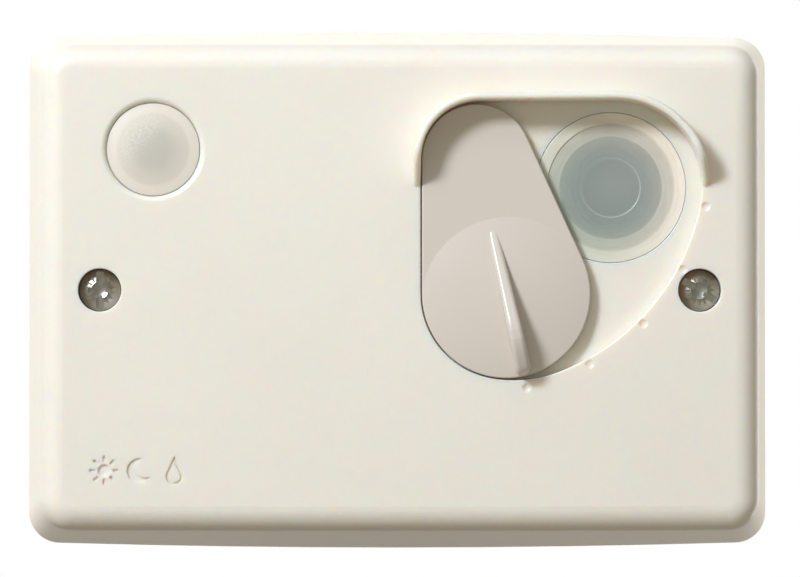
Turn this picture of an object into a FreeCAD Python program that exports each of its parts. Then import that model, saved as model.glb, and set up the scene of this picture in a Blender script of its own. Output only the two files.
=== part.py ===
import FreeCAD, Part
import math
import os

# A wall-mounted twilight switch. Everything is drawn lying on its back: x to the right,
# y up the wall and z out of the wall, with z = 0 on the wall. Each finished piece is then
# stood up, so that the front faces -Y and the wall face lies in the plane y = 0.

V = FreeCAD.Vector

# Base and cover
rim_width = 120.0
rim_height = 82.4
rim_arch = 0.8
rim_corner = 5.0
base_depth = 17.0
base_inset = 1.2
base_floor = 2.5
base_wall = 2.4
base_back_round = 1.2
cover_depth = 22.0
cover_draft = 7.0
cover_wall = 2.2
cover_rim_wall = 2.6
cover_edge_round = 4.0
cavity_corner = 3.0

# Joint between base and cover
lip_gap = 0.8
lip_wall = 1.2
lip_rise = 3.0
lip_root = 4.0
gasket_width = 1.0
gasket_height = 1.2
gasket_land = 0.5

# Shutter and its recess
pivot_inset = 47.75
pivot_drop = 20.8
hub_radius = 8.75
lobe_radius = 13.45
lobe_offset = 22.06
shutter_travel = 66.0
blade_thickness = 1.55
blade_edge_round = 0.25
dome_radius = 14.0
dome_height = 1.3
dome_offset = 23.8
recess_depth = 1.85
recess_floor = 2.0
recess_side_gap = 0.2
recess_swing_gap = 0.94
recess_end_gap = 0.35
recess_end_angle = 0.5
recess_corner = 9.4
recess_corner_rise = -0.15
recess_blend = 20.0
recess_edge_round = 0.22
recess_boss_wall = 2.0
shaft_radius = 3.0
shaft_clearance = 0.05
shaft_boss_radius = 6.0
shaft_boss_length = 5.8
shaft_chamfer = 0.4
rib_start = 10.7
rib_start_width = 1.7
rib_end_width = 2.45
rib_height = 5.4
rib_end_inset = 0.1
rib_nose = 6.0
rib_shoulder = 4.0
rib_round = 0.7

# Seal, washer and clip on the shutter's shaft
ring_section = 0.53
ring_height = 1.5
ring_slack = 0.02
washer_thickness = 0.3
washer_rise = 0.35
washer_radius = 5.3
clip_thickness = 0.8
clip_radius = 4.6
clip_seat_radius = 2.3
clip_gap = 0.1
clip_play = 0.02
clip_mouth = 3.45
washer_play = 0.2
shaft_tail = 1.0

# Hood over the recess
hood_height = 5.0
hood_wall = 1.2
hood_end_drop = 4.53
hood_end_run = 7.0
hood_end_round = 4.8
hood_root = 0.6
hood_lip_round = 0.55

# Dimples along the shutter's travel
dimple_count = 5
dimple_radius = 0.75
dimple_depth = 0.35
dimple_circle = 37.4

# Sensor lens, in the recess floor
sensor_across = 21.5
sensor_drop = 4.5
sensor_lens_radius = 12.0
sensor_step_radius = 10.2
sensor_window_radius = 8.25
sensor_ring_radius = 4.77
sensor_ring_width = 0.3
sensor_ring_height = 0.25
sensor_window_thickness = 1.2
sensor_step = 0.15
sensor_dome = 0.15
lens_fit = 0.06
lens_edge_round = 0.12
sensor_seat_round = 0.15
lens_sink = 0.05
lens_flange_overlap = 1.3
lens_flange_thickness = 1.3
lens_gasket_thickness = 0.5
lens_seat_wall = 1.0

# Indicator lens, in the face
indicator_inset = 20.6
indicator_drop = 19.3
indicator_lens_radius = 7.4
indicator_window_radius = 5.4
indicator_window_thickness = 1.3
indicator_dome = 0.55
indicator_sink = 0.55
indicator_seat_round = 0.95

# Cover screws
screw_inset = 12.1
screw_y = -0.55
screw_radius = 1.75
screw_head_radius = 3.3
screw_head_height = 2.3
screw_head_sink = 0.9
screw_head_dome = 1.265
screw_tip_radius = 1.05
screw_slot_width = 1.2
screw_slot_depth = 1.0
screw_cross_width = 0.7
screw_cross_reach = 1.9
screw_cross_depth = 1.15
screw_pit_radius = 1.37
screw_pit_depth = 1.3
screw_bowl_radius = 2.7
screw_notch_count = 16
screw_notch_width = 0.28
screw_notch_start = 1.5
screw_notch_end = 2.45
screw_notch_depth = 0.62
screw_length = 28.0
screw_turns = (90.0, 148.0)
well_radius = 3.45
well_edge_round = 0.15
post_radius = 4.7
post_bore = 1.95
post_gap = 0.2
seal_thickness = 0.5
seal_play = 0.05
thread_clearance = 0.02

# Marks pressed into the face: a sun, a moon and a water drop
mark_inset = 18.4
mark_rise = 11.9
mark_pitch = 5.6
mark_size = 4.6
mark_depth = 0.35
mark_stroke = 0.45
sun_rays = 8

# Wall screw holes and cable entries in the base
wall_hole_inset = 10.0
wall_hole_rise = 9.2
wall_hole_radius = 2.25
wall_pad_radius = 5.0
wall_pad_height = 1.0
cable_x = 22.0
cable_z = 8.0
cable_hole_radius = 5.2
cable_bore_radius = 3.0
entry_sink = 0.4
entry_wall = 1.8
grommet_flange = 1.2
grommet_flange_thickness = 0.8
grommet_web = 1.2
grommet_lip = 1.1
grommet_slack = 0.05
gasket_play = 0.02

# Circuit board
board_post_gap = 0.3
board_drop = 5.2
board_height = 58.0
board_back = 8.0
board_thickness = 1.6
board_corner = 2.0
board_screw_inset = 4.0
board_screw_radius = 1.5
board_screw_head_radius = 2.7
board_screw_head_height = 1.6
board_screw_head_round = 0.5
board_screw_cross = 3.2
board_screw_cross_width = 0.7
board_screw_cross_depth = 0.9
board_screw_length = 6.0
board_screw_play = 0.2
board_screw_end_room = 0.5
standoff_radius = 3.4
lead_radius = 0.35
lead_play = 0.1
lead_length = 1.2
lead_grip = 0.5

# Sensor shroud and photocell
shroud_radius = 6.2
shroud_flange_thickness = 1.2
shroud_window_gap = 0.3
shroud_foot_radius = 8.0
shroud_foot_thickness = 1.0
shroud_window_play = 0.25
shroud_taper = 1.5
photocell_radius = 3.0
photocell_thickness = 2.2
photocell_rim = 0.5
photocell_rim_height = 0.3
photocell_drop = 2.5
photocell_lead = 1.3

# Indicator LED
led_radius = 2.5
led_flange_radius = 2.9
led_flange = 1.0
led_length = 8.4
led_spacer_radius = 3.2
led_spacer_length = 16.0
led_lead = 1.27

# Terminal block
terminal_count = 4
terminal_pitch = 7.5
terminal_x = 0.0
terminal_inset = 0.5
terminal_depth = 12.0
terminal_height = 14.0
terminal_side = 0.6
terminal_chamfer = 2.0
clamp_width = 5.6
clamp_length = 6.4
clamp_height = 7.1
clamp_back = 1.5
clamp_wall = 0.9
clamp_top = 1.8
clamp_base = 1.25
clamp_play = 0.05
clamp_pin_grip = 0.2
clamp_screw_radius = 1.5
clamp_screw_head = 2.0
clamp_screw_head_height = 1.6
clamp_screw_rise = 0.8
clamp_screw_length = 5.0
clamp_screw_slot = 0.7
clamp_screw_slot_depth = 0.8
terminal_well_radius = 2.3
terminal_pin = 0.6

# Relay
relay_x = -13.5
relay_drop = 11.4
relay_length = 28.4
relay_width = 12.6
relay_height = 15.4
relay_wall = 0.7
relay_base_thickness = 1.5
relay_case_round = 0.5
relay_fit = 0.1
core_radius = 2.0
core_length = 15.0
core_start = 2.2
core_tip = 0.3
coil_height = 6.2
coil_play = 0.05
coil_pin_x = 2.6
coil_pin_spread = 3.8
coil_pin_rise = 0.4
bobbin_wall = 0.6
bobbin_flange = 0.9
bobbin_flange_radius = 4.4
winding_radius = 3.9
yoke_thickness = 1.2
yoke_width = 8.0
yoke_gap = 0.6
armature_gap = 0.55
armature_thickness = 1.2
armature_width = 7.6
armature_foot = 1.6
contact_arm = 4.6
contact_blade = 0.3
contact_blade_width = 3.0
contact_blade_drop = 5.0
contact_radius = 1.1
contact_thickness = 0.5
contact_gap = 0.35
contact_post = 1.0
contact_post_width = 2.4
relay_pin = 0.4

# Other parts on the board: place across it from its middle (x) or in from its nearer side
# (in), height above its lower edge, then size
film_x, film_up = -6.5, 22.0
film_length, film_width, film_height = 18.0, 7.5, 13.5
film_lead, film_round = 7.5, 0.5
smoothing_x, smoothing_up = 8.2, 23.0
smoothing_radius, smoothing_height, smoothing_lead = 5.0, 16.0, 2.5
delay_in, delay_up = 11.6, 30.8
delay_radius, delay_height, delay_lead = 3.15, 11.0, 1.25
can_round, can_waist_depth, can_waist_low, can_waist_high = 0.4, 0.3, 1.4, 2.0
resistor_in, resistor_up = 12.9, 16.5
resistor_pitch, resistor_count = 7.0, 2
resistor_radius, resistor_length, resistor_lead = 2.1, 11.0, 7.6
diode_in, diode_up = 8.4, 18.6
diode_pitch, diode_count = 4.0, 4
diode_radius, diode_length, diode_lead = 1.35, 5.2, 5.0
varistor_in, varistor_up = 9.9, 6.5
varistor_radius, varistor_thickness, varistor_lead = 4.5, 3.4, 2.5
fuse_in, fuse_up = 16.4, 6.5
fuse_radius, fuse_height, fuse_lead, fuse_round = 4.2, 8.0, 2.54, 0.5
chip_in, chip_up = 14.9, 7.0
chip_length, chip_width, chip_height = 9.6, 6.4, 3.4
chip_pitch, chip_row, chip_legs = 2.54, 3.81, 4
chip_rise, chip_chamfer, chip_notch = 0.5, 0.3, 0.8
chip_leg_width, chip_leg_tip, chip_leg_thickness, chip_leg_rise = 1.2, 0.5, 0.3, 0.3
part_standoff = 0.8
can_standoff = 0.2

# This one is placed down from the board's upper edge
transistor_x, transistor_drop = 9.5, 21.0
transistor_radius, transistor_height, transistor_lead = 2.3, 5.0, 1.27
transistor_rise, transistor_flat = 2.0, 1.3

# How far pieces that are joined into one reach into each other, and cuts reach past a face
merge = 0.1
beyond = 1.0

# Turned domes end in a flat of this radius
dome_flat = 0.3

# Two places closer than this are taken for one
near = 0.001

# Places that follow from the sizes above
face = base_depth + cover_depth
top_edge = rim_height / 2
side_edge = rim_width / 2
recess_level = face - recess_depth
recess_back = recess_level - recess_floor
blade_bottom = face - blade_thickness
pivot_x = side_edge - pivot_inset
pivot_y = top_edge - pivot_drop
sensor_x = pivot_x + sensor_across
sensor_y = pivot_y - sensor_drop
indicator_x = indicator_inset - side_edge
indicator_y = top_edge - indicator_drop
screw_x = side_edge - screw_inset
mark_x = mark_inset - side_edge
mark_y = mark_rise - top_edge
wall_hole_x = side_edge - wall_hole_inset
wall_hole_y = top_edge - wall_hole_rise
rest_angle = math.degrees(math.asin((lobe_radius - hub_radius) / lobe_offset))
left_wall = pivot_x - hub_radius - recess_side_gap
swing_radius = lobe_offset + lobe_radius + recess_swing_gap
end_radius = lobe_radius + recess_end_gap
shaft_boss_end = recess_back - shaft_boss_length
clip_top = shaft_boss_end - washer_thickness - washer_rise - clip_gap
sensor_top = recess_level - lens_sink
window_back = sensor_top - sensor_step - sensor_window_thickness
indicator_rim = face - indicator_sink
screw_head_top = face - screw_head_sink
screw_under = screw_head_top - screw_head_height
screw_seat = screw_under - seal_thickness
entry_outside = top_edge + rim_arch - base_inset - entry_sink
entry_inside = entry_outside - entry_wall
board_front = board_back + board_thickness
board_top = top_edge - board_drop
board_bottom = board_top - board_height
board_half_width = screw_x - post_radius - board_post_gap
board_screw_x = board_half_width - board_screw_inset
board_screw_heights = (board_bottom + board_screw_inset, board_top - board_screw_inset)
terminal_bottom = board_bottom + terminal_inset
relay_y = board_top - relay_drop
relay_floor = board_front + relay_base_thickness
film_y = board_bottom + film_up
smoothing_y = board_bottom + smoothing_up
delay_x = delay_in - board_half_width
delay_y = board_bottom + delay_up
resistor_x = resistor_in - board_half_width
resistor_y = board_bottom + resistor_up
diode_x = board_half_width - diode_in
diode_y = board_bottom + diode_up
varistor_x = varistor_in - board_half_width
varistor_y = board_bottom + varistor_up
fuse_x = fuse_in - board_half_width
fuse_y = board_bottom + fuse_up
chip_x = board_half_width - chip_in
chip_y = board_bottom + chip_up
transistor_y = board_top - transistor_drop


# Helpers
def box(x0, x1, y0, y1, z0, z1):
    return Part.makeBox(x1 - x0, y1 - y0, z1 - z0, V(x0, y0, z0))


def rod(x, y, radius, z0, z1):
    return Part.makeCylinder(radius, z1 - z0, V(x, y, z0))


def tube(x, y, outer, inner, z0, z1):
    return rod(x, y, outer, z0, z1).cut(rod(x, y, inner, z0, z1))


def rod_along(start, end, radius):
    return Part.makeCylinder(radius, (end - start).Length, start, end - start)


def prism(wire, z0, z1):
    floor = Part.Face(wire)
    floor.translate(V(0, 0, z0))
    return floor.extrude(V(0, 0, z1 - z0))


def turned(x, y, points):
    """Solid of revolution about the line through (x, y), from a closed outline of
    (radius, z) points; a point written as a pair of points is an arc through them."""
    edges = []
    here = V(points[0][0], 0, points[0][1])
    for point in points[1:] + points[:1]:
        if isinstance(point[0], tuple):
            middle = V(point[0][0], 0, point[0][1])
            there = V(point[1][0], 0, point[1][1])
            edges.append(Part.Arc(here, middle, there).toShape())
        else:
            there = V(point[0], 0, point[1])
            edges.append(Part.LineSegment(here, there).toShape())
        here = there
    section = Part.Face(Part.Wire(edges))
    solid = section.revolve(V(0, 0, 0), V(0, 0, 1), 360)
    solid.translate(V(x, y, 0))
    return solid


def arc(centre, start, end):
    """Arc about centre from start to end, shorter than half a turn."""
    radius = (start - centre).Length
    half_way = (start - centre) + (end - centre)
    half_way.normalize()
    return Part.Arc(start, centre + half_way * radius, end).toShape()


def line(start, end):
    return Part.LineSegment(start, end).toShape()


def joined(shapes):
    whole = shapes[0]
    if len(shapes) > 1:
        whole = whole.multiFuse(shapes[1:])
    return whole.removeSplitter()


def edges_at(shape, z):
    return [e for e in shape.Edges
            if abs(e.BoundBox.ZMin - z) < near and abs(e.BoundBox.ZMax - z) < near]


def swung(angle):
    """Direction at an angle from straight down, positive towards +x."""
    turn = math.radians(angle)
    return V(math.sin(turn), -math.cos(turn), 0)


def dome(radius, low, rise):
    """Outline points for turned(): a dome's arc from its rim to a small flat, and its axis."""
    sphere = (radius * radius + rise * rise) / (2 * rise)
    centre = low + rise - sphere
    middle = centre + math.sqrt(sphere * sphere - radius * radius / 4)
    top = centre + math.sqrt(sphere * sphere - dome_flat * dome_flat)
    return [((radius / 2, middle), (dome_flat, top)), (0, top)]


def round_corner(radius, z):
    """Outline points for turned(): the rounded outer edge of a lens."""
    size = lens_edge_round
    inset = size * (1 - math.sqrt(0.5))
    return [(radius, z - size), ((radius - inset, z - inset), (radius - size, z))]


def rim_edges(shape, x, y, radius, z):
    """Edges of the circle of this radius about (x, y) at height z."""
    middle = V(x, y, z)
    return [e for e in edges_at(shape, z)
            if abs((e.valueAt(e.FirstParameter) - middle).Length - radius) < near]


# Outlines
def arched_outline(width, height, arch, corner, z):
    """Rectangle with round corners whose long sides rise by arch at mid-length."""
    reach = width / 2 - corner
    if arch > 0:
        bow = reach * reach / (2 * arch) + arch / 2
        level = height / 2 + arch - bow
        rise = level + math.sqrt((bow - corner) ** 2 - reach ** 2)
        middle = V(0, level, z)
        lean = V(reach, rise, z) - middle
        lean.normalize()
        tip = middle + lean * bow
        top = Part.Arc(V(tip.x, tip.y, z), V(0, level + bow, z), V(-tip.x, tip.y, z)).toShape()
    else:
        rise = height / 2 - corner
        tip = V(reach, height / 2, z)
        top = line(V(reach, height / 2, z), V(-reach, height / 2, z))
    bottom = top.mirror(V(0, 0, z), V(0, 1, 0))
    right = width / 2
    edges = [line(V(right, -rise, z), V(right, rise, z)),
             arc(V(reach, rise, z), V(right, rise, z), V(tip.x, tip.y, z)),
             top,
             arc(V(-reach, rise, z), V(-tip.x, tip.y, z), V(-right, rise, z)),
             line(V(-right, rise, z), V(-right, -rise, z)),
             arc(V(-reach, -rise, z), V(-right, -rise, z), V(-tip.x, -tip.y, z)),
             bottom,
             arc(V(reach, -rise, z), V(tip.x, -tip.y, z), V(right, -rise, z))]
    return Part.Wire(Part.__sortEdges__(edges))


def rim_outline(inset, z=0.0):
    corner = max(rim_corner - inset, 1.0)
    return arched_outline(rim_width - 2 * inset, rim_height - 2 * inset, rim_arch, corner, z)


def front_outline(inset, corner, z):
    narrowing = cover_depth * math.tan(math.radians(cover_draft)) + inset
    return arched_outline(rim_width - 2 * narrowing, rim_height - 2 * narrowing, 0, corner, z)


def recess_outline(grow=0.0):
    """Outline of the shutter's recess, or a parallel one that lies grow outside it."""
    pivot = V(pivot_x, pivot_y, 0)
    lobe = pivot + swung(rest_angle) * lobe_offset
    lobe_wall = lobe_radius + recess_side_gap
    # The blend arc lies inside the swing arc and round the outside of the lobe's arc
    from_pivot = swing_radius - recess_blend
    from_lobe = recess_blend - lobe_wall
    along = (from_pivot ** 2 - from_lobe ** 2 + lobe_offset ** 2) / (2 * lobe_offset)
    aside = math.sqrt(from_pivot ** 2 - along ** 2)
    blend = pivot + swung(rest_angle) * along + swung(rest_angle + 90) * aside
    end = pivot + swung(rest_angle + shutter_travel + recess_end_angle) * (swing_radius - end_radius)
    corner = V(left_wall + recess_corner, pivot_y + recess_corner_rise, 0)
    to_blend = (lobe - blend).normalize()
    to_swing = (blend - pivot).normalize()
    to_end = (end - pivot).normalize()
    # The top wall touches the corner's circle and the end's circle
    apart = end - corner
    tilt = math.atan2(apart.y, apart.x) - math.asin((recess_corner - end_radius) / apart.Length)
    upward = V(-math.sin(tilt), math.cos(tilt), 0)
    low_left = lobe - V(lobe_wall + grow, 0, 0)
    blend_start = lobe + to_blend * (lobe_wall + grow)
    swing_start = pivot + to_swing * (swing_radius + grow)
    end_start = pivot + to_end * (swing_radius + grow)
    top_right = end + upward * (end_radius + grow)
    top_left = corner + upward * (recess_corner + grow)
    high_left = corner - V(recess_corner + grow, 0, 0)
    edges = [line(high_left, low_left),
             arc(lobe, low_left, blend_start),
             arc(blend, blend_start, swing_start),
             arc(pivot, swing_start, end_start),
             arc(end, end_start, top_right),
             line(top_right, top_left),
             arc(corner, top_left, high_left)]
    return Part.Wire(edges)


def blade_outline():
    pivot = V(pivot_x, pivot_y, 0)
    lobe = pivot + swung(rest_angle) * lobe_offset
    left = V(-1, 0, 0)
    right = swung(2 * rest_angle + 90)
    hub_back = pivot - swung(rest_angle) * hub_radius
    lobe_far = lobe + swung(rest_angle) * lobe_radius
    edges = [line(pivot + left * hub_radius, lobe + left * lobe_radius),
             Part.Arc(lobe + left * lobe_radius, lobe_far, lobe + right * lobe_radius).toShape(),
             line(lobe + right * lobe_radius, pivot + right * hub_radius),
             Part.Arc(pivot + right * hub_radius, hub_back, pivot + left * hub_radius).toShape()]
    return Part.Wire(edges)


# Front cover
def cover_shell():
    outer = Part.makeLoft([rim_outline(0, base_depth), front_outline(0, rim_corner, face)], True, True)
    outer = outer.makeFillet(cover_edge_round, edges_at(outer, face))
    inner = Part.makeLoft([rim_outline(cover_rim_wall, base_depth),
                           front_outline(cover_wall, cavity_corner, face - cover_wall)], True, True)
    return outer.cut(inner)


def hood():
    """Thin wall along the recess's upper edge: its lip is round, and its two ends slope
    down to the face."""
    low = face - hood_root
    high = face + hood_height
    ring = prism(recess_outline(hood_wall), low, high)
    ring = ring.cut(prism(recess_outline(), low, high))
    top = pivot_y - hood_end_drop + hood_end_run
    centre = V(0, top, high - hood_end_round)
    slope = math.radians(45)
    start = centre + V(0, -math.sin(slope), math.cos(slope)) * hood_end_round
    middle = centre + V(0, -math.sin(slope / 2), math.cos(slope / 2)) * hood_end_round
    foot = V(0, start.y - (start.z - low), low)
    far = top_edge
    edges = [line(foot, start),
             Part.Arc(start, middle, V(0, top, high)).toShape(),
             line(V(0, top, high), V(0, far, high)),
             line(V(0, far, high), V(0, far, low)),
             line(V(0, far, low), foot)]
    side = Part.Face(Part.Wire(edges))
    side.translate(V(-rim_width / 2, 0, 0))
    wall = ring.common(side.extrude(V(rim_width, 0, 0)))
    lip = [e for e in wall.Edges if e.BoundBox.ZMax > face and not is_upright(e)
           and (on_outline(e, 0) or on_outline(e, hood_wall))]
    return wall.makeFillet(hood_lip_round, lip)


def is_upright(edge):
    return edge.BoundBox.XLength < near and edge.BoundBox.YLength < near


def on_outline(edge, grow):
    """Whether an edge lies on the recess outline with this much added."""
    wire = recess_outline(grow)
    middle = edge.valueAt((edge.FirstParameter + edge.LastParameter) / 2)
    return wire.distToShape(Part.Vertex(V(middle.x, middle.y, 0)))[0] < near


def dimples():
    sphere = (dimple_radius ** 2 + dimple_depth ** 2) / (2 * dimple_depth)
    step = shutter_travel / (dimple_count - 1)
    balls = []
    for number in range(dimple_count):
        spot = V(pivot_x, pivot_y, 0) + swung(rest_angle + number * step) * dimple_circle
        balls.append(Part.makeSphere(sphere, V(spot.x, spot.y, face + sphere - dimple_depth),
                                     V(1, 0, 0)))
    return balls


def drop(x, y, radius, length, low, high):
    """A drop: a round end of this radius and a tip this far above its middle."""
    centre = V(x, y, 0)
    tip = V(x, y + length, 0)
    spread = math.acos(radius / length)
    left = centre + V(-math.sin(spread), math.cos(spread), 0) * radius
    right = centre + V(math.sin(spread), math.cos(spread), 0) * radius
    outline = [line(tip, left),
               Part.Arc(left, centre - V(0, radius, 0), right).toShape(),
               line(right, tip)]
    return prism(Part.Wire(outline), low, high)


def marks():
    """A sun with its rays, a crescent moon and a drop's outline, cut into the face."""
    low = face - mark_depth
    high = face + beyond
    size = mark_size / 2
    sun_x = mark_x - mark_pitch
    shapes = [rod(sun_x, mark_y, size * 0.42, low, high)]
    for number in range(sun_rays):
        ray = box(size * 0.6, size, -size * 0.09, size * 0.09, low, high)
        ray.rotate(V(0, 0, 0), V(0, 0, 1), 360 / sun_rays * number)
        ray.translate(V(sun_x, mark_y, 0))
        shapes.append(ray)
    moon = rod(mark_x, mark_y, size * 0.85, low, high)
    shapes.append(moon.cut(rod(mark_x + size * 0.45, mark_y + size * 0.2, size * 0.7, low, high)))
    drop_x = mark_x + mark_pitch
    radius = size * 0.6
    length = 2 * size - radius
    middle = mark_y - size + radius
    inner = 1 - mark_stroke / radius
    shapes.append(drop(drop_x, middle, radius, length, low, high)
                  .cut(drop(drop_x, middle, radius * inner, length * inner, low, high)))
    return shapes


def lens_seats():
    """Rings behind the two lenses that hold their flanges."""
    sensor_reach = sensor_lens_radius + lens_flange_overlap + lens_fit
    indicator_reach = indicator_lens_radius + lens_flange_overlap + lens_fit
    seat_depth = lens_gasket_thickness + lens_flange_thickness
    indicator_back = face - cover_wall
    sensor = tube(sensor_x, sensor_y, sensor_reach + lens_seat_wall, sensor_reach,
                  recess_back - seat_depth, recess_back + merge)
    indicator = tube(indicator_x, indicator_y, indicator_reach + lens_seat_wall, indicator_reach,
                     indicator_back - seat_depth, indicator_back + merge)
    return [sensor, indicator]


def front_cover():
    shell = cover_shell()
    pocket = prism(recess_outline(recess_boss_wall), recess_back, face - cover_wall / 2)
    posts = [rod(side * screw_x, screw_y, post_radius, base_depth, face - cover_wall / 2)
             for side in (-1, 1)]
    boss = rod(pivot_x, pivot_y, shaft_boss_radius, shaft_boss_end, recess_back + merge)
    cover = joined([shell, pocket, boss] + posts + lens_seats())
    cover = cover.cut(prism(recess_outline(), recess_level, face + beyond))
    mouth = [e for e in edges_at(cover, face) if on_outline(e, 0)]
    cover = cover.makeFillet(recess_edge_round, mouth)
    cover = joined([cover, hood()])
    cuts = dimples() + marks()
    for side in (-1, 1):
        cuts.append(rod(side * screw_x, screw_y, well_radius, screw_seat, face + beyond))
        cuts.append(rod(side * screw_x, screw_y, post_bore, base_depth - beyond, face))
    cuts.append(rod(pivot_x, pivot_y, shaft_radius + shaft_clearance, shaft_boss_end - beyond,
                    face))
    cuts.append(rod(sensor_x, sensor_y, sensor_lens_radius + lens_fit, recess_back - beyond, face))
    cuts.append(rod(indicator_x, indicator_y, indicator_lens_radius + lens_fit,
                    face - cover_wall - beyond, face + beyond))
    cover = cover.cut(cuts)
    sensor_mouth = rim_edges(cover, sensor_x, sensor_y, sensor_lens_radius + lens_fit, recess_level)
    cover = cover.makeFillet(sensor_seat_round, sensor_mouth)
    indicator_mouth = rim_edges(cover, indicator_x, indicator_y, indicator_lens_radius + lens_fit,
                                face)
    cover = cover.makeFillet(indicator_seat_round, indicator_mouth)
    for side in (-1, 1):
        well_mouth = rim_edges(cover, side * screw_x, screw_y, well_radius, face)
        cover = cover.makeFillet(well_edge_round, well_mouth)
    return cover


# Pieces that go through the cover
def driver_recess():
    """What is cut from a screw's head: a slot, a cross, a round pit with a bowl-shaped
    bottom and a ring of short notches."""
    high = screw_head_top + beyond
    reach = screw_head_radius + beyond
    slot = box(-reach, reach, -screw_slot_width / 2, screw_slot_width / 2,
               screw_head_top - screw_slot_depth, high)
    long_arm = box(-screw_cross_reach, screw_cross_reach, -screw_cross_width / 2,
                   screw_cross_width / 2, screw_head_top - screw_cross_depth, high)
    cross_arm = long_arm.copy()
    cross_arm.rotate(V(0, 0, 0), V(0, 0, 1), 90)
    bottom = screw_head_top - screw_pit_depth
    bowl = Part.makeSphere(screw_bowl_radius, V(0, 0, bottom + screw_bowl_radius), V(1, 0, 0))
    pit = rod(0, 0, screw_pit_radius, bottom - beyond, high).common(bowl)
    cuts = [slot, long_arm, cross_arm, pit]
    for number in range(screw_notch_count):
        notch = box(screw_notch_start, screw_notch_end, -screw_notch_width / 2,
                    screw_notch_width / 2, screw_head_top - screw_notch_depth, high)
        notch.rotate(V(0, 0, 0), V(0, 0, 1), 360 / screw_notch_count * (number + 0.5))
        cuts.append(notch)
    return cuts


def cover_screws():
    screws = []
    for side, turn in zip((-1, 1), screw_turns):
        tip = screw_under - screw_length
        shoulder = screw_head_top - screw_head_dome
        screw = turned(0, 0, [(0, tip), (screw_tip_radius, tip),
                              (screw_radius, tip + screw_radius),
                              (screw_radius, screw_under), (screw_head_radius, screw_under),
                              (screw_head_radius, shoulder)]
                       + dome(screw_head_radius, shoulder, screw_head_dome))
        screw = screw.cut(driver_recess())
        screw.rotate(V(0, 0, 0), V(0, 0, 1), turn)
        screw.translate(V(side * screw_x, screw_y, 0))
        screws.append(screw)
    return screws


def cover_screw_seals():
    return [tube(side * screw_x, screw_y, well_radius - seal_play, screw_radius + seal_play,
                 screw_seat, screw_seat + seal_thickness) for side in (-1, 1)]


def blade_rib():
    """Wedge on the blade's centre line: it rises towards the far edge, ends in a nose and
    has a round back."""
    far = lobe_offset + lobe_radius - rib_end_inset
    half = rib_end_width / 2
    plan = Part.Wire([line(V(rib_start, -rib_start_width / 2, 0), V(far - half, -half, 0)),
                      Part.Arc(V(far - half, -half, 0), V(far, 0, 0), V(far - half, half, 0)).toShape(),
                      line(V(far - half, half, 0), V(rib_start, rib_start_width / 2, 0)),
                      line(V(rib_start, rib_start_width / 2, 0), V(rib_start, -rib_start_width / 2, 0))])
    top = face + rib_height
    low = face - blade_thickness / 2
    crest = far - rib_nose
    lean = math.sqrt(0.5)
    # The straight back passes into the nose along a curve that is level at the crest
    slope = rib_height / (crest - rib_start - rib_shoulder / 2)
    shoulder = V(crest - rib_shoulder, 0, top - slope * rib_shoulder / 2)
    nose = Part.BSplineCurve()
    nose.interpolate(Points=[shoulder, V(crest, 0, top),
                             V(crest + rib_nose * lean, 0, face + rib_height * lean),
                             V(far, 0, face)],
                     InitialTangent=V(1, 0, slope), FinalTangent=V(0, 0, -1))
    side = Part.Wire([line(V(rib_start, 0, low), V(rib_start, 0, face)),
                      line(V(rib_start, 0, face), shoulder),
                      nose.toShape(),
                      line(V(far, 0, face), V(far, 0, low)),
                      line(V(far, 0, low), V(rib_start, 0, low))])
    profile = Part.Face(side)
    profile.translate(V(0, -rib_end_width, 0))
    rib = prism(plan, low, top).common(profile.extrude(V(0, 2 * rib_end_width, 0)))
    back = [e for e in rib.Edges if e.BoundBox.ZMax > face + near and e.BoundBox.XLength > near]
    rib = rib.makeFillet(rib_round, back)
    rib.rotate(V(0, 0, 0), V(0, 0, 1), rest_angle - 90)
    rib.translate(V(pivot_x, pivot_y, 0))
    return rib


def blade():
    """Flat egg-shaped plate whose large end carries a low dome."""
    plate = prism(blade_outline(), blade_bottom, face)
    sphere = (dome_radius ** 2 + dome_height ** 2) / (2 * dome_height)
    spot = V(pivot_x, pivot_y, 0) + swung(rest_angle) * dome_offset
    ball = Part.makeSphere(sphere, V(spot.x, spot.y, face + dome_height - sphere))
    crown = prism(blade_outline(), blade_bottom, face + dome_height).common(ball)
    plate = joined([plate, crown])
    rim = [e for e in plate.Edges if e.BoundBox.ZMin > face - near and on_blade_edge(e)]
    return plate.makeFillet(blade_edge_round, rim)


def on_blade_edge(edge):
    middle = edge.valueAt((edge.FirstParameter + edge.LastParameter) / 2)
    return blade_outline().distToShape(Part.Vertex(V(middle.x, middle.y, 0)))[0] < near


def shutter_shaft():
    """Shaft with a groove for the seal, one for the clip and a short tail."""
    clip_bottom = clip_top - clip_thickness
    tail = clip_bottom - shaft_tail
    groove_top = recess_back - ring_height
    groove_bottom = groove_top - 2 * ring_section - 2 * ring_slack
    groove_radius = shaft_radius + shaft_clearance - 2 * ring_section - 2 * ring_slack
    return turned(pivot_x, pivot_y,
                  [(0, tail), (shaft_radius - shaft_chamfer, tail),
                   (shaft_radius, tail + shaft_chamfer),
                   (shaft_radius, clip_bottom), (clip_seat_radius, clip_bottom),
                   (clip_seat_radius, clip_top), (shaft_radius, clip_top),
                   (shaft_radius, groove_bottom), (groove_radius, groove_bottom),
                   (groove_radius, groove_top), (shaft_radius, groove_top),
                   (shaft_radius, blade_bottom + merge), (0, blade_bottom + merge)])


def shutter():
    return joined([blade(), blade_rib(), shutter_shaft()])


def shutter_o_ring():
    ring = Part.makeTorus(shaft_radius + shaft_clearance - ring_section - ring_slack, ring_section)
    ring.translate(V(pivot_x, pivot_y, recess_back - ring_height - ring_section - ring_slack))
    return ring


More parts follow.
